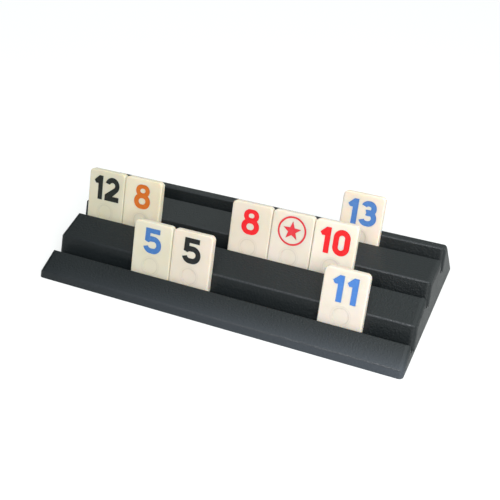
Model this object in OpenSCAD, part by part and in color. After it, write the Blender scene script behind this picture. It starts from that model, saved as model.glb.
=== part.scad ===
// Three-row rack for number tiles, with nine tiles standing in its grooves.
// Millimetres, +Z up, +Y towards the back, +X along the rack to the viewer's right.
// Origin: the middle of the rack's foot, on the table.

/* [Rack] */
// length of the rack at its foot
rack_l = 231; // [222:1:250]
// how far the risers, the front face and the seated tiles lean back, in degrees
lean = 18.5; // [16:0.5:21]
// height of the short front face, along its slope
front_h = 4.9; // [4:0.1:6]
// length of the front panel, front edge to lip
panel_1_len = 16; // [15:0.5:18]
// slope of the front panel
panel_1_slope = 24.8; // [23:0.2:27]
// length of the middle panel, crest to lip
panel_2_len = 20.6; // [19:0.2:23]
// slope of the middle panel
panel_2_slope = 16.3; // [14:0.1:18]
// length of the rear panel, crest to lip
panel_3_len = 24.4; // [22:0.2:27]
// slope of the rear panel
panel_3_slope = 0.6; // [0:0.1:2]
// width of each groove at its lip, square to the riser
groove_mouth = 7.5; // [7:0.1:8.5]
// height of each riser from the groove floor to its crest, along the lean
riser_h = 12.8; // [12.4:0.1:13.4]
// how far the front riser stands above its lip, along the lean
riser_1_show = 8; // [7.6:0.1:8.4]
// how far the middle riser stands above its lip, along the lean
riser_2_show = 6.9; // [6.5:0.1:7.5]
// how far the rear riser stands above its lip, along the lean
riser_3_show = 5.2; // [4.6:0.1:6]
// width of the narrow top strip behind the rear crest
top_w = 6.6; // [6:0.1:8]
// slope of the top strip, downwards to the back
top_slope = 9.5; // [6:0.5:12]
// how far the foot of the back wall reaches behind the top strip
back_run = 20.9; // [16:0.5:24]
// wall thickness of the hollow moulding
wall = 2.2; // [1.8:0.1:2.4]
// slope of the two end faces, in degrees from upright
end_slope = 1.9; // [0.5:0.1:3]
// thickness of the two end walls at the foot
end_wall = 4; // [3.6:0.1:5]
// radius that rolls the top edges over into the end faces
end_round = 3; // [1.5:0.1:3.2]
// radius that rolls the front wall of each groove into the end faces
groove_round = 1.2; // [0.6:0.1:1.6]
// radius of the crests
crest_r = 1.2; // [0.6:0.1:1.6]
// radius of the groove lips
lip_r = 0.8; // [0.4:0.1:1]
// radius of the front edge and the back edge of the top
edge_r = 1.6; // [0.8:0.1:2]

/* [Ribs] */
// cross ribs under the rack
rib_count = 3; // [1:1:5]
// thickness of a rib
rib_t = 1.6; // [1.2:0.1:2.4]
// gap from the table to the lower edge of the ribs
rib_gap = 1.5; // [1:0.1:3]

/* [Tiles] */
// width of a tile
tile_w = 26; // [25:0.1:26.2]
// height of a tile
tile_h = 36; // [34:0.5:38]
// thickness of a tile
tile_t = 4.6; // [4.2:0.1:4.8]
// corner radius of a tile seen from the front
tile_r = 2.8; // [2:0.1:3.5]
// rounding of the edges round both faces
tile_edge = 0.8; // [0.3:0.1:1]
// gap between neighbouring tiles in a row
tile_seam = 0.3; // [0.2:0.1:0.8]
// gap between the back of a tile and its riser
back_gap = 0.05; // [0.03:0.01:0.1]
// clear width left in front of a tile at the groove floor
front_gap = 0.35; // [0.25:0.05:0.5]
// left edge of the pair in the middle row, from the rack's middle
middle_left_x = -109.5; // [-110:0.1:-100]
// left edge of the pair in the front row
front_left_x = -60; // [-62:0.2:-50]
// left edge of the group of three in the middle row
middle_right_x = -8.8; // [-12:0.1:0]
// left edge of the single tile in the front row
front_right_x = 60.4; // [50:0.1:70]
// left edge of the single tile in the rear row
rear_x = 49.4; // [40:0.1:70]

/* [Numbers] */
// height of the numbers
digit_h = 15.6; // [15:0.1:16]
// height of the foot of the numbers above the foot of the tile
digit_z = 16.8; // [16:0.1:17.5]
// width of a number stroke
stroke = 3.4; // [3:0.1:3.6]
// depth of the engraved numbers
engrave = 0.5; // [0.4:0.05:0.8]
// thickness of the coloured ink laid in the engraving
ink_t = 0.35; // [0.25:0.05:0.35]
// clear line left round the ink inside the engraving
ink_gap = 0.06; // [0.04:0.01:0.1]
// space between the two digits of a two-digit number
digit_space = 1.8; // [1.2:0.1:2]
// space between the 1 and the 3, which is set closer
close_space = 1; // [0.8:0.1:1.8]
// outer radius of the ring on the picture tile
ring_r = 8.9; // [8.4:0.1:9.4]
// line width of that ring
ring_line = 1.2; // [0.9:0.1:1.6]
// outer radius of the star inside the ring
star_r = 6; // [5:0.1:6.4]
// height of the middle of the ring above the foot of the tile
ring_z = 25; // [24:0.1:25.5]
// radius of the round dimple low on each tile
dimple_r = 4.8; // [4:0.1:5.2]
// depth of that dimple
dimple_d = 0.25; // [0.15:0.05:0.4]
// height of the middle of the dimple above the foot of the tile
dimple_z = 9; // [8.5:0.1:9.5]

/* [Hidden] */
$fn = 48;
eps = 0.01;
dark_plastic = "#3c4246";
ivory = "#f0e8d6";
ink_black = "#23262a";
ink_orange = "#e66e23";
ink_blue = "#4b87dc";
ink_red = "#f02d32";

// unit vectors in the side view [back, up]: along the lean, and square to it towards the back
up_lean = [sin(lean), cos(lean)];
to_back = [cos(lean), -sin(lean)];
function along(slope, len) = [len * cos(slope), len * sin(slope)];
// from a groove's lip to the crest behind it
function lip_to_crest(show) = groove_mouth * to_back + show * up_lean;
groove_floor = tile_t + back_gap + front_gap;

// side view of the rack with sharp corners, front foot first
front_top = front_h * up_lean;
lip_1 = front_top + along(panel_1_slope, panel_1_len);
crest_1 = lip_1 + lip_to_crest(riser_1_show);
lip_2 = crest_1 + along(panel_2_slope, panel_2_len);
crest_2 = lip_2 + lip_to_crest(riser_2_show);
lip_3 = crest_2 + along(panel_3_slope, panel_3_len);
crest_3 = lip_3 + lip_to_crest(riser_3_show);
top_back = crest_3 + along(-top_slope, top_w);
back_foot = [top_back[0] + back_run, 0];
rack_d = back_foot[0];
crests = [crest_1, crest_2, crest_3];
// where the groove floor meets the riser, and its front corner
function seat(row) = crests[row] - riser_h * up_lean;
function seat_front(row) = seat(row) - groove_floor * to_back;
sharp = [[0, 0], front_top,
  lip_1, seat_front(0), seat(0), crest_1,
  lip_2, seat_front(1), seat(1), crest_2,
  lip_3, seat_front(2), seat(2), crest_3,
  top_back, back_foot];
corners = len(sharp);
// rounding radius of each corner of the side view
corner_r = [0, edge_r, lip_r, 0, 0, crest_r, lip_r, 0, 0, crest_r, lip_r, 0, 0, crest_r, edge_r, 0];
arc_steps = 5;
edge_steps = 3;
curve_steps = 27;
end_tilt = tan(end_slope);

function unit(v) = v / norm(v);
// direction of side-view edge i and its inward normal
function edge_dir(p, i) = unit(p[(i + 1) % len(p)] - p[i]);
function inward(d) = [d[1], -d[0]];
function cross2(a, b) = a[0] * b[1] - a[1] * b[0];
// crossing of edge i moved inwards by di with edge j moved inwards by dj
function meet(p, i, di, j, dj) =
  let (a = edge_dir(p, i), b = edge_dir(p, j))
  let (pa = p[i] + di * inward(a), pb = p[j] + dj * inward(b))
  pa + a * cross2(pb - pa, b) / cross2(a, b);
// outline with every edge i moved inwards by d[i]
function inset(p, d) = [for (i = [0 : len(p) - 1])
  let (h = (i + len(p) - 1) % len(p)) meet(p, h, d[h], i, d[i])];
// outline moved inwards by the same distance all round
function inset_all(p, d) = inset(p, [for (q = p) d]);
// corner b rounded to radius r, as points
function arc_points(a, b, c, r, steps) =
  let (u = unit(a - b), v = unit(c - b), half = acos(u * v) / 2)
  let (mid = b + unit(u + v) * r / sin(half), start = b + u * r / tan(half) - mid)
  let (turn = (180 - 2 * half) * sign(cross2(u, v)))
  [for (k = [0 : steps])
    let (w = -turn * k / steps)
    mid + [start[0] * cos(w) - start[1] * sin(w), start[0] * sin(w) + start[1] * cos(w)]];
function rounded(p, r, steps = arc_steps) = [for (i = [0 : len(p) - 1])
  let (n = len(p), a = p[(i + n - 1) % n], c = p[(i + 1) % n])
  each (r[i] == 0 ? [p[i]] : arc_points(a, p[i], c, r[i], steps))];
outline = rounded(sharp, corner_r);

// inside of the hollow moulding: one space under the front panel, one behind the front riser
floor_z = -1;
function at_foot(i) =
  let (a = edge_dir(sharp, i), p = sharp[i] + wall * inward(a))
  p + a * (floor_z - p[1]) / a[1];
function inner(i, j) = meet(sharp, i, wall, j, wall);
front_space = [at_foot(0), inner(0, 1), inner(1, 2), at_foot(2)];
rear_space = [at_foot(4), inner(4, 5), inner(5, 6), inner(6, 7), inner(7, 8), inner(8, 9),
  inner(9, 10), inner(10, 11), inner(11, 12), inner(12, 13), inner(13, 14), at_foot(14)];
space_half = rack_l / 2 - end_wall;

// side-view shapes drawn as [back, up] and swept along the rack
module swept(from, to) {
  translate([from, 0, 0])
    rotate([90, 0, 90])
      linear_extrude(to - from)
        children();
}

// what has to go where face i of the side view rolls over into the end face
// the roll starts before the face and ends after it by those lengths
module end_roll(i, r, before, after) {
  a = sharp[i];
  b = sharp[(i + 1) % corners];
  len = norm(b - a);
  margin = 1;
  turn_in = asin((b[1] - a[1]) * end_tilt / len);
  arc = [for (k = [0 : arc_steps]) r * [cos(90 * k / arc_steps) - 1, sin(90 * k / arc_steps) - 1]];
  translate([rack_l / 2 - b[1] * end_tilt, b[0], b[1]])
    rotate([90 + atan2(b[1] - a[1], b[0] - a[0]), 0, 0])
      rotate([0, turn_in, 0])
        translate([0, 0, -before])
          linear_extrude(before + len + after)
            polygon([[margin, -r], each arc, [-r, margin], [margin, margin]]);
}

// sloping end face with its rolled edges, taken off the right end
module end_trim() {
  translate([rack_l / 2, 0, 0])
    rotate([0, -end_slope, 0])
      translate([0, -5, -5])
        cube([10, rack_d + 10, crest_3[1] + 15]);
  end_roll(0, end_round * 0.8, 0.5, 0.5);
  for (panel = [1, 5, 9])
    end_roll(panel, end_round, 1.5, 1.5);
  for (groove_front = [2, 6, 10])
    end_roll(groove_front, groove_round, 1, 0);
  for (riser = [4, 8, 12])
    end_roll(riser, end_round, 0, 1.5);
  end_roll(13, end_round, 0.4, 0.4);
  end_roll(14, end_round * 0.8, 0.5, 0.5);
}

module spaces() {
  polygon(front_space);
  polygon(rear_space);
}

module ribs() {
  for (k = [1 : rib_count])
    let (x = -space_half + k * 2 * space_half / (rib_count + 1))
      swept(x - rib_t / 2, x + rib_t / 2)
        intersection() {
          spaces();
          translate([0, rib_gap])
            square([rack_d, crest_3[1]]);
        }
}

module rack() {
  color(dark_plastic)
    translate([0, -rack_d / 2, 0]) {
      difference() {
        swept(-rack_l / 2, rack_l / 2)
          polygon(outline);
        swept(-space_half, space_half)
          spaces();
        end_trim();
        mirror([1, 0, 0])
          end_trim();
      }
      ribs();
    }
}

// places a child that is drawn standing at the origin into a row
// x is the left edge of the child, row 0 is the front row
module stand(x, row) {
  s = seat(row) - (tile_t + back_gap) * to_back;
  translate([x, s[0] - rack_d / 2, s[1]])
    rotate([-lean, 0, 0])
      children();
}

// bar with rounded edges, w wide and tile_t thick, as a flat outline [across, depth]
function bar_outline(w) = rounded([[0, 0], [w, 0], [w, tile_t], [0, tile_t]],
  [tile_edge, tile_edge, tile_edge, tile_edge], edge_steps);

module corner_post(x, z) {
  translate([x, 0, z])
    rotate([-90, 0, 0])
      rotate_extrude()
        polygon(rounded([[0, 0], [tile_r, 0], [tile_r, tile_t], [0, tile_t]],
          [0, tile_edge, tile_edge, 0], edge_steps));
}

// blank tile: front face at depth 0, foot at height 0, left edge at 0
module tile_blank() {
  union() {
    translate([0, 0, tile_r])
      linear_extrude(tile_h - 2 * tile_r)
        polygon(bar_outline(tile_w));
    translate([tile_r, 0, 0])
      rotate([90, 0, 90])
        linear_extrude(tile_w - 2 * tile_r)
          polygon([for (q = bar_outline(tile_h)) [q[1], q[0]]]);
    for (x = [tile_r, tile_w - tile_r])
      for (z = [tile_r, tile_h - tile_r])
        corner_post(x, z);
  }
}

// round disc, widened in the middle by spread on each side
module wide_disc(r, spread) {
  for (s = [-1, 1])
    translate([s * spread, 0])
      circle(r);
  translate([-spread, -r])
    square([2 * spread, 2 * r]);
}

// part of a wide ring between two directions, as a flat shape drawn g smaller all round
module ring_part(r, spread, line, from, to, g) {
  reach = 2 * r;
  ease = asin(g / (r - line / 2));
  a = from + ease;
  b = to - ease;
  third = (360 - b + a) / 3;
  difference() {
    wide_disc(r - g, spread);
    wide_disc(r - line + g, spread);
    polygon([[0, 0], for (k = [0 : 3]) reach * [cos(b + k * third), sin(b + k * third)]]);
  }
}

// points along the edge of a wide disc, from one direction to another
function curve(mid, r, spread, from, to) = [for (k = [0 : curve_steps])
  let (w = from + (to - from) * k / curve_steps)
  mid + [spread * sign(cos(w)) + r * cos(w), r * sin(w)]];

// digits: flat shapes with the lower left corner at the origin, drawn g smaller all round
one_w = 6.5;
two_w = 10.5;
three_w = 11.1;
five_w = 12.4;
eight_w = 11.6;
zero_w = 10.2;

module digit_1(g) {
  stem = one_w - stroke;
  polygon(inset_all([[stem, 0], [stem, digit_h - 5.4], [1.2, digit_h - 5.4], [0, digit_h - 3.5],
    [stem + 0.5, digit_h], [one_w, digit_h], [one_w, 0]], g));
}

module digit_2(g) {
  r = two_w / 2;
  mid = [r, digit_h - r];
  neck = -38;
  tail = 168;
  polygon(inset_all([[0, 0], [0, 3.9], each curve(mid, r - stroke, 0, neck, tail),
    each curve(mid, r, 0, tail, neck), [5.8, stroke], [two_w, stroke], [two_w, 0]], g));
}

module digit_3(g) {
  low_r = 5.1;
  up_r = 4.6;
  low_spread = three_w / 2 - low_r;
  up_spread = 0.3;
  tail = 160;
  waist = 112;
  translate([three_w / 2, low_r])
    ring_part(low_r, low_spread, stroke, -tail, waist, g);
  translate([three_w / 2, digit_h - up_r])
    ring_part(up_r, up_spread, stroke, -waist, tail, g);
}

module digit_5(g) {
  r = 5.45;
  spread = five_w / 2 - r;
  mid = [five_w / 2, r];
  tail = -162;
  stem_end = 146;
  bar_right = five_w - 1.4;
  bar_low = digit_h - stroke + 0.3;
  stem_right = 1.1 + stroke;
  polygon(inset_all([[1, 2 * r - stroke - 0.1], [1.2, digit_h], [bar_right, digit_h],
    [bar_right, bar_low], [stem_right, bar_low],
    each curve(mid, r, spread, acos((stem_right - mid[0] + spread) / r), tail),
    each curve(mid, r - stroke, spread, tail, stem_end)], g));
}

module digit_8(g) {
  low_r = 4.95;
  up_r = 3.95;
  low_spread = eight_w / 2 - low_r;
  up_spread = 1;
  difference() {
    union() {
      translate([eight_w / 2, low_r])
        wide_disc(low_r - g, low_spread);
      translate([eight_w / 2, digit_h - up_r])
        wide_disc(up_r - g, up_spread);
    }
    translate([eight_w / 2, low_r])
      wide_disc(low_r - stroke + 0.4 + g, 0.4);
    translate([eight_w / 2, digit_h - up_r])
      wide_disc(up_r - stroke + 0.8 + g, 0.4);
  }
}

module digit_0(g) {
  r = zero_w / 2;
  q = r - stroke;
  difference() {
    union() {
      translate([r, r])
        circle(r - g);
      translate([r, digit_h - r])
        circle(r - g);
      translate([g, r])
        square([zero_w - 2 * g, digit_h - zero_w]);
    }
    translate([r, r])
      circle(q + g);
    translate([r, digit_h - r])
      circle(q + g);
    translate([stroke - g, r])
      square([2 * q + 2 * g, digit_h - zero_w]);
  }
}

module two_digits(first_w, second_w, space) {
  total = first_w + space + second_w;
  translate([(tile_w - total) / 2, digit_z])
    children(0);
  translate([(tile_w - total) / 2 + first_w + space, digit_z])
    children(1);
}

module one_digit(w) {
  translate([(tile_w - w) / 2, digit_z])
    children();
}

star = [for (k = [0 : 9])
  let (r = k % 2 == 0 ? star_r : star_r * 0.42, a = 90 - 36 * k)
  r * [cos(a), sin(a)]];

// the number or picture called name, on the tile's face, drawn g smaller all round
module sign(name, g) {
  if (name == "12")
    two_digits(one_w, two_w, digit_space) {
      digit_1(g);
      digit_2(g);
    }
  if (name == "10")
    two_digits(one_w, zero_w, digit_space) {
      digit_1(g);
      digit_0(g);
    }
  if (name == "11")
    two_digits(one_w, one_w, digit_space) {
      digit_1(g);
      digit_1(g);
    }
  if (name == "13")
    two_digits(one_w, three_w, close_space) {
      digit_1(g);
      digit_3(g);
    }
  if (name == "8")
    one_digit(eight_w)
      digit_8(g);
  if (name == "5")
    one_digit(five_w)
      digit_5(g);
  if (name == "star")
    translate([tile_w / 2, ring_z]) {
      difference() {
        circle(ring_r - g);
        circle(ring_r - ring_line + g);
      }
      polygon(inset_all(star, g));
    }
}

// flat shapes on the tile's face turned upright, from depth d0 to depth d1
module at_depth(d0, d1) {
  translate([0, d1, 0])
    rotate([90, 0, 0])
      linear_extrude(d1 - d0)
        children();
}

module tile(name, x, row) {
  color(ivory)
    stand(x, row)
      difference() {
        tile_blank();
        at_depth(-1, engrave)
          sign(name, 0);
        at_depth(-1, dimple_d)
          translate([tile_w / 2, dimple_z])
            circle(dimple_r);
      }
}

module ink(name, x, row, shade) {
  color(shade)
    stand(x, row)
      at_depth(engrave - ink_t, engrave)
        sign(name, ink_gap);
}

// left edge of the tile number n of a group that starts at x
function nth(x, n) = x + n * (tile_w + tile_seam);

module tile_12_black() { tile("12", nth(middle_left_x, 0), 1); }
module tile_8_orange() { tile("8", nth(middle_left_x, 1), 1); }
module tile_8_red() { tile("8", nth(middle_right_x, 0), 1); }
module tile_star_red() { tile("star", nth(middle_right_x, 1), 1); }
module tile_10_red() { tile("10", nth(middle_right_x, 2), 1); }
module tile_5_blue() { tile("5", nth(front_left_x, 0), 0); }
module tile_5_black() { tile("5", nth(front_left_x, 1), 0); }
module tile_11_blue() { tile("11", front_right_x, 0); }
module tile_13_blue() { tile("13", rear_x, 2); }
module ink_12_black() { ink("12", nth(middle_left_x, 0), 1, ink_black); }
module ink_8_orange() { ink("8", nth(middle_left_x, 1), 1, ink_orange); }
module ink_8_red() { ink("8", nth(middle_right_x, 0), 1, ink_red); }
module ink_star_red() { ink("star", nth(middle_right_x, 1), 1, ink_red); }
module ink_10_red() { ink("10", nth(middle_right_x, 2), 1, ink_red); }
module ink_5_blue() { ink("5", nth(front_left_x, 0), 0, ink_blue); }
module ink_5_black() { ink("5", nth(front_left_x, 1), 0, ink_black); }
module ink_11_blue() { ink("11", front_right_x, 0, ink_blue); }
module ink_13_blue() { ink("13", rear_x, 2, ink_blue); }

rack();
tile_12_black();
tile_8_orange();
tile_8_red();
tile_star_red();
tile_10_red();
tile_5_blue();
tile_5_black();
tile_11_blue();
tile_13_blue();
ink_12_black();
ink_8_orange();
ink_8_red();
ink_star_red();
ink_10_red();
ink_5_blue();
ink_5_black();
ink_11_blue();
ink_13_blue();
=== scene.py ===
import math

import bmesh
import bpy
from mathutils import Matrix, Vector

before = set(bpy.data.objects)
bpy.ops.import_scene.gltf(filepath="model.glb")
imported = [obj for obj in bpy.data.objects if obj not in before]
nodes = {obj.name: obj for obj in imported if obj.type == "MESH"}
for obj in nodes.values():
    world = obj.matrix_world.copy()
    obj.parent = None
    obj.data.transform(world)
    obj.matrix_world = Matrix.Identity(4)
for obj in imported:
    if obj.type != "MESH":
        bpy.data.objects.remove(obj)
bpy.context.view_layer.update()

# A black moulded rack with three grooves and nine ivory number tiles.
# Metres, +Z up, +X along the rack, +Y towards its back.


# shader wiring

class Wire:
    # one output socket, so that shader maths reads as arithmetic
    def __init__(self, shader, socket):
        self.shader = shader
        self.socket = socket

    def maths(self, operation, first, second=None):
        values = {0: first} if second is None else {0: first, 1: second}
        return self.shader.wire("ShaderNodeMath", {"operation": operation}, values)

    def __add__(self, other):
        return self.maths("ADD", self, other)

    def __radd__(self, other):
        return self.maths("ADD", other, self)

    def __sub__(self, other):
        return self.maths("SUBTRACT", self, other)

    def __rsub__(self, other):
        return self.maths("SUBTRACT", other, self)

    def __mul__(self, other):
        return self.maths("MULTIPLY", self, other)

    def __rmul__(self, other):
        return self.maths("MULTIPLY", other, self)

    def __truediv__(self, other):
        return self.maths("DIVIDE", self, other)

    def __rtruediv__(self, other):
        return self.maths("DIVIDE", other, self)

    def __abs__(self):
        return self.maths("ABSOLUTE", self)

    def clamped(self):
        return self.shader.wire("ShaderNodeClamp", {}, {"Value": self})


class Shader:
    # a material or a world, and the nodes in it
    def __init__(self, owner):
        self.owner = owner
        self.owner.use_nodes = True
        self.tree = self.owner.node_tree
        self.tree.nodes.clear()

    def node(self, kind, settings, sockets):
        made = self.tree.nodes.new(kind)
        for key, value in settings.items():
            setattr(made, key, value)
        for key, value in sockets.items():
            if isinstance(value, Wire):
                self.tree.links.new(value.socket, made.inputs[key])
            else:
                made.inputs[key].default_value = value
        return made

    def wire(self, kind, settings, sockets, output=0):
        return Wire(self, self.node(kind, settings, sockets).outputs[output])

    def place(self, kind="Object"):
        return self.wire("ShaderNodeTexCoord", {}, {}, kind)

    def parts(self, place):
        split = self.node("ShaderNodeSeparateXYZ", {}, {"Vector": place})
        return [Wire(self, output) for output in split.outputs]

    def length(self, first, second):
        joined = self.wire("ShaderNodeCombineXYZ", {}, {"X": first, "Y": second})
        return self.wire("ShaderNodeVectorMath", {"operation": "LENGTH"}, {0: joined}, "Value")

    def noise(self, scale, detail, roughness):
        sockets = {"Vector": self.place(), "Scale": scale, "Detail": detail,
                   "Roughness": roughness}
        return self.wire("ShaderNodeTexNoise", {}, sockets, "Fac")

    def mixed(self, share, first, second):
        sockets = {0: share, 6: first, 7: second}
        return self.wire("ShaderNodeMix", {"data_type": "RGBA"}, sockets, 2)

    def fitted(self, value, fromRange, toLow, toHigh):
        sockets = {"Value": value, "From Min": fromRange[0], "From Max": fromRange[1],
                   "To Min": toLow, "To Max": toHigh}
        return self.wire("ShaderNodeMapRange", {}, sockets, "Result")

    def bump(self, height, strength, depth):
        sockets = {"Height": height, "Strength": strength, "Distance": depth}
        return self.wire("ShaderNodeBump", {}, sockets, "Normal")

    def ray(self, kind):
        return self.wire("ShaderNodeLightPath", {}, {}, kind)

    def finish(self, surface, output="ShaderNodeOutputMaterial"):
        self.node(output, {}, {"Surface": surface})
        return self.owner


def linear(red, green, blue):
    # an sRGB colour of 0 to 255 as Blender's linear values
    def channel(value):
        share = value / 255
        return share / 12.92 if share <= 0.04045 else ((share + 0.055) / 1.055) ** 2.4
    return (channel(red), channel(green), channel(blue), 1)


# rack: matt black moulded plastic with a leathery grain, its crests smoother and painted
# lighter as a painted highlight that fades towards the left end, and its front lip painted
# lighter towards the front edge and the right end as painted light

rackLooks = {
    "dark": (13, 19, 21),
    "light": (20, 26, 29),
    # the crest colour is a painted highlight along the crest lines
    "rubbedAndHighlight": (62, 64, 68),
    "highlightShare": 0.7,
    "rubbedHighlightWidth": 0.0008,
    "rubbedHighlightCore": 0.6,
    "highlightLeft": 0.15,
    "rubbedHighlightLines": (
        (-0.0560, 0.0045), (-0.03196, 0.01640), (-0.00288, 0.02635), (0.03028, 0.02915)),
    "highlightSpecks": (0.3, 0.6),
    "highlightLeast": 0.4,
    # the lip colour is painted light: lighter towards the front edge, and far more towards the
    # right end
    "lipPaintedLight": (86, 92, 102),
    "lipPaintedLightShare": 0.5,
    "lipPaintedLightRange": (-0.040, -0.0565),
    "lipPaintedLightLeft": 0.1,
    "rightEnd": 0.1155,
    "patchScale": 22,
    "patchShare": 0.5,
    "patchRange": (0.3, 0.7),
    "speckScale": 1040,
    "speckRange": (0.35, 0.65),
    "grainScale": 900,
    "grainDepth": 0.00042,
    "grainStrength": 0.6,
    "roughLow": 0.38,
    "roughHigh": 0.48,
    "rubbedRough": 0.3,
    "ior": 1.49,
}


def rackPlastic(looks):
    shader = Shader(bpy.data.materials.new("mattBlackPlastic"))
    along, back, up = shader.parts(shader.place())
    width = looks["rubbedHighlightWidth"]
    end = looks["rightEnd"]
    # a band along each crest line, smoother and painted lighter: a painted highlight
    rubbedAndHighlight = sum(
        shader.fitted(shader.length(back - lineBack, up - lineUp),
                      (width * looks["rubbedHighlightCore"], width), 1, 0)
        for lineBack, lineUp in looks["rubbedHighlightLines"])
    patches = shader.noise(looks["patchScale"], detail=4, roughness=0.6)
    specks = shader.noise(looks["speckScale"], detail=2, roughness=0.5)
    grain = shader.noise(looks["grainScale"], detail=2, roughness=0.6)
    # painted light on the front lip, rising towards the front edge and towards the right end
    lipPaintedLight = shader.fitted(back, looks["lipPaintedLightRange"], 0, 1)
    lipPaintedLight = lipPaintedLight * lipPaintedLight * looks["lipPaintedLightShare"]
    lipPaintedLight = lipPaintedLight * shader.fitted(along, (-end, end), looks["lipPaintedLightLeft"], 1)
    # the painted highlight, broken up by specks and fading towards the left end, where less light
    # falls
    paintedCrestHighlight = rubbedAndHighlight * shader.fitted(specks, looks["highlightSpecks"], looks["highlightLeast"], 1)
    paintedCrestHighlight = paintedCrestHighlight * shader.fitted(along, (-end, 0), looks["highlightLeft"], 1)
    paintedCrestHighlight = paintedCrestHighlight * looks["highlightShare"]
    share = patches * looks["patchShare"]
    share = share + shader.fitted(specks, looks["speckRange"], 0, 1) * (1 - looks["patchShare"])
    colour = shader.mixed(share.clamped(), linear(*looks["dark"]), linear(*looks["light"]))
    colour = shader.mixed(lipPaintedLight, colour, linear(*looks["lipPaintedLight"]))
    colour = shader.mixed(paintedCrestHighlight.clamped(), colour, linear(*looks["rubbedAndHighlight"]))
    matt = shader.fitted(patches, looks["patchRange"], looks["roughLow"], looks["roughHigh"])
    return shader.finish(shader.wire("ShaderNodeBsdfPrincipled", {}, {
        "Base Color": colour,
        "Roughness": matt + rubbedAndHighlight.clamped() * (looks["rubbedRough"] - matt),
        "IOR": looks["ior"],
        "Normal": shader.bump(grain, looks["grainStrength"], looks["grainDepth"])}))


# tiles: ivory moulded plastic, clouded a little warmer in places, each tile's shade painted
# lighter or darker as painted light after how the light falls on it; the dimple's rim and a
# fainter rim around it are painted darker as painted shade; each rim is a radius and a share

tileLooks = {
    "lean": 18.5,
    "dimpleUp": 0.009,
    "paintedShadeRims": ((0.0048, 0.5), (0.0059, 0.22)),
    "rimWidth": 0.0005,
    "rimShadeTone": 0.84,
    "cloudScale": 60,
    "cloudRange": (0.35, 0.75),
    "cloudShare": 0.6,
    "cloudTone": (0.95, 0.95, 0.90),
    "grainScale": 1500,
    "grainDepth": 0.00003,
    "grainStrength": 0.2,
    "roughRange": (0.3, 0.7),
    "roughLow": 0.42,
    "roughHigh": 0.54,
    "ior": 1.5,
    "subsurface": 0.6,
    "subsurfaceRadius": (0.003, 0.002, 0.0012),
    # each tile's shade is the same ivory painted lighter or darker, as painted light after how
    # the light falls on that tile
    "shadesWithLight": {
        "tile_12_black": (213, 206, 186),
        "tile_8_orange": (227, 216, 195),
        "tile_8_red": (229, 217, 203),
        "tile_star_red": (231, 220, 208),
        "tile_10_red": (244, 232, 219),
        "tile_5_blue": (219, 211, 193),
        "tile_5_black": (224, 212, 199),
        "tile_11_blue": (232, 221, 211),
        "tile_13_blue": (243, 228, 214),
    },
}


def tileIvory(looks, node, name, shadeWithLight):
    shader = Shader(bpy.data.materials.new(name))
    sine = math.sin(math.radians(looks["lean"]))
    cosine = math.cos(math.radians(looks["lean"]))
    corners = [corner.co for corner in node.data.vertices]
    foot = min(corner.y * sine + corner.z * cosine for corner in corners)
    left = min(corner.x for corner in corners)
    right = max(corner.x for corner in corners)
    along, back, up = shader.parts(shader.place())
    above = back * sine + up * cosine - (foot + looks["dimpleUp"])
    far = shader.length(along - (left + right) / 2, above)
    # the rims are painted darker: painted shade standing in for the relief of the dimple's rim
    # and a fainter raised ring
    paintedRimShade = sum(
        shader.fitted(abs(far - radius), (0, looks["rimWidth"]), share, 0)
        for radius, share in looks["paintedShadeRims"])
    clouds = shader.noise(looks["cloudScale"], detail=3, roughness=0.5)
    grain = shader.noise(looks["grainScale"], detail=2, roughness=0.5)
    deeper = [value * tone for value, tone in zip(shadeWithLight, looks["cloudTone"])]
    rimShadeColour = [value * looks["rimShadeTone"] for value in shadeWithLight]
    share = shader.fitted(clouds, looks["cloudRange"], 0, looks["cloudShare"])
    colour = shader.mixed(share, linear(*shadeWithLight), linear(*deeper))
    return shader.finish(shader.wire("ShaderNodeBsdfPrincipled", {}, {
        "Base Color": shader.mixed(paintedRimShade, colour, linear(*rimShadeColour)),
        "Roughness": shader.fitted(
            clouds, looks["roughRange"], looks["roughLow"], looks["roughHigh"]),
        "IOR": looks["ior"],
        "Normal": shader.bump(grain, looks["grainStrength"], looks["grainDepth"]),
        "Subsurface Weight": looks["subsurface"],
        "Subsurface Radius": looks["subsurfaceRadius"],
        "Subsurface Scale": 1.0}))


# inks: satin enamel wiped into the engraving, thinner and paler in places

inkLooks = {
    "patchScale": 700,
    "thinRange": (0.5, 0.8),
    "thinShare": 0.10,
    "wobbleDepth": 0.00004,
    "wobbleStrength": 0.25,
    "roughRange": (0.3, 0.7),
    "roughLow": 0.36,
    "roughHigh": 0.5,
    "ior": 1.5,
    # each ink's shade holds its own colour, painted lighter or darker as painted light after how
    # the light falls on its tile
    "shadesWithLight": {
        "ink_12_black": (21, 25, 20),
        "ink_8_orange": (203, 101, 20),
        "ink_8_red": (232, 22, 32),
        "ink_star_red": (222, 50, 60),
        "ink_10_red": (236, 20, 28),
        "ink_5_blue": (62, 111, 175),
        "ink_5_black": (20, 22, 22),
        "ink_11_blue": (70, 124, 200),
        "ink_13_blue": (75, 124, 193),
    },
}


def inkEnamel(looks, name, shadeWithLight):
    shader = Shader(bpy.data.materials.new(name))
    patches = shader.noise(looks["patchScale"], detail=3, roughness=0.6)
    thin = [value + (255 - value) * looks["thinShare"] for value in shadeWithLight]
    share = shader.fitted(patches, looks["thinRange"], 0, 1)
    return shader.finish(shader.wire("ShaderNodeBsdfPrincipled", {}, {
        "Base Color": shader.mixed(share, linear(*shadeWithLight), linear(*thin)),
        "Roughness": shader.fitted(
            patches, looks["roughRange"], looks["roughLow"], looks["roughHigh"]),
        "IOR": looks["ior"],
        "Normal": shader.bump(patches, looks["wobbleStrength"], looks["wobbleDepth"])}))


def dress(node, material):
    slots = node.data.materials
    if len(slots) == 0:
        slots.append(material)
    for number in range(len(slots)):
        slots[number] = material


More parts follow.
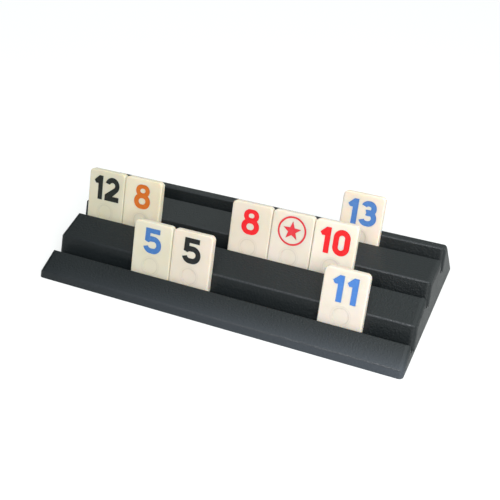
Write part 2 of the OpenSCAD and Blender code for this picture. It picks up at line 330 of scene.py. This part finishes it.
dress(nodes["rack"], rackPlastic(rackLooks))
for name, shadeWithLight in tileLooks["shadesWithLight"].items():
    dress(nodes[name], tileIvory(tileLooks, nodes[name], name.replace("tile", "ivory"), shadeWithLight))
for name, shadeWithLight in inkLooks["shadesWithLight"].items():
    dress(nodes[name], inkEnamel(inkLooks, name.replace("ink", "enamel"), shadeWithLight))
print("rack, tiles and inks have their finishes")


# floor: pale paper that glows a little for the camera, so that it looks white in the picture

floorLooks = {
    "half": 3.0,
    "tone": (206, 206, 206),
    "fibreScale": 900,
    "fibreRange": (0.4, 0.7),
    "fibreShare": 0.3,
    "fibreTone": 0.98,
    "glow": 0.3,
    "glowStrength": 1.95,
}


def floorPaint(looks):
    shader = Shader(bpy.data.materials.new("palePaper"))
    fibre = shader.noise(looks["fibreScale"], detail=3, roughness=0.5)
    tone = linear(*looks["tone"])
    darker = tuple(value * looks["fibreTone"] for value in tone[:3]) + (1,)
    share = shader.fitted(fibre, looks["fibreRange"], 0, looks["fibreShare"])
    paper = shader.wire("ShaderNodeBsdfDiffuse", {}, {"Color": shader.mixed(share, tone, darker)})
    glow = shader.wire("ShaderNodeEmission", {}, {
        "Color": (1, 1, 1, 1), "Strength": looks["glowStrength"]})
    share = shader.ray("Is Camera Ray") * looks["glow"]
    return shader.finish(shader.wire("ShaderNodeMixShader", {}, {0: share, 1: paper, 2: glow}))


def makeFloor(looks):
    shape = bmesh.new()
    bmesh.ops.create_grid(shape, x_segments=1, y_segments=1, size=looks["half"])
    mesh = bpy.data.meshes.new("floor")
    shape.to_mesh(mesh)
    shape.free()
    mesh.materials.append(floorPaint(looks))
    floor = bpy.data.objects.new("floor", mesh)
    bpy.context.scene.collection.objects.link(floor)


# lamps and sky: the sky is brighter overhead and towards the right end

lampAim = (0, 0, 0.03)
lampLooks = {
    "key": {"place": (0.48, -0.52, 0.42), "size": 0.4, "power": 3.4, "tone": (1.0, 0.99, 0.98)},
    "front": {"place": (0.05, -0.8, 0.68), "size": 0.2, "power": 2.0, "tone": (1.0, 1.0, 1.0)},
    "top": {"place": (0.15, -0.1, 1.1), "size": 0.6, "power": 1.1, "tone": (0.95, 0.98, 1.0)},
    "back": {"place": (-0.52, 0.84, 0.59), "size": 0.6, "power": 0.4, "tone": (0.94, 1.0, 0.97)},
}
skyLooks = {
    "tone": (0.93, 1.0, 0.98, 1),
    "low": 0.16,
    "high": 1.12,
    "slantRange": (-0.8, 1.0),
    "slant": 2.25,
    "background": 1.0,
}


def makeLamp(name, looks):
    data = bpy.data.lights.new(name, "AREA")
    data.shape = "DISK"
    data.size = looks["size"]
    data.energy = looks["power"]
    data.color = looks["tone"]
    lamp = bpy.data.objects.new(name, data)
    lamp.location = looks["place"]
    aim = Vector(lampAim) - lamp.location
    lamp.rotation_euler = aim.to_track_quat("-Z", "Y").to_euler()
    bpy.context.scene.collection.objects.link(lamp)


def makeSky(looks):
    shader = Shader(bpy.data.worlds.new("studio"))
    along, _, up = shader.parts(shader.place("Generated"))
    strength = shader.fitted(up, (0, 1), looks["low"], looks["high"])
    strength = strength * shader.fitted(along, looks["slantRange"], 0, looks["slant"])
    soft = shader.wire("ShaderNodeBackground", {}, {
        "Color": looks["tone"], "Strength": strength})
    white = shader.wire("ShaderNodeBackground", {}, {
        "Color": (1, 1, 1, 1), "Strength": looks["background"]})
    rays = {0: shader.ray("Is Camera Ray"), 1: shader.ray("Is Transmission Ray")}
    share = shader.wire("ShaderNodeMath", {"operation": "MAXIMUM"}, rays)
    sky = shader.wire("ShaderNodeMixShader", {}, {0: share, 1: soft, 2: white})
    bpy.context.scene.world = shader.finish(sky, "ShaderNodeOutputWorld")


makeFloor(floorLooks)
for name, looks in lampLooks.items():
    makeLamp(name, looks)
makeSky(skyLooks)
bpy.context.scene.view_settings.view_transform = "Standard"
print("floor and light are set")


# camera at the photograph's viewing angle

cameraLooks = {
    "place": (0.17453, -0.38222, 0.29151),
    "leftTurn": 24.276,
    "downTilt": 33.234,
    "roll": -0.09,
    "lens": 58.78,
    "sensor": 36,
    "nearest": 0.01,
    "farthest": 20,
}


def makeCamera(looks):
    data = bpy.data.cameras.new("camera")
    data.sensor_width = looks["sensor"]
    data.lens = looks["lens"]
    data.clip_start = looks["nearest"]
    data.clip_end = looks["farthest"]
    camera = bpy.data.objects.new("camera", data)
    turn = Matrix.Rotation(math.radians(looks["leftTurn"]), 4, "Z")
    tilt = Matrix.Rotation(math.radians(90 - looks["downTilt"]), 4, "X")
    roll = Matrix.Rotation(math.radians(looks["roll"]), 4, "Z")
    camera.matrix_world = Matrix.Translation(looks["place"]) @ turn @ tilt @ roll
    bpy.context.scene.collection.objects.link(camera)
    bpy.context.scene.camera = camera


makeCamera(cameraLooks)
print("camera is set")
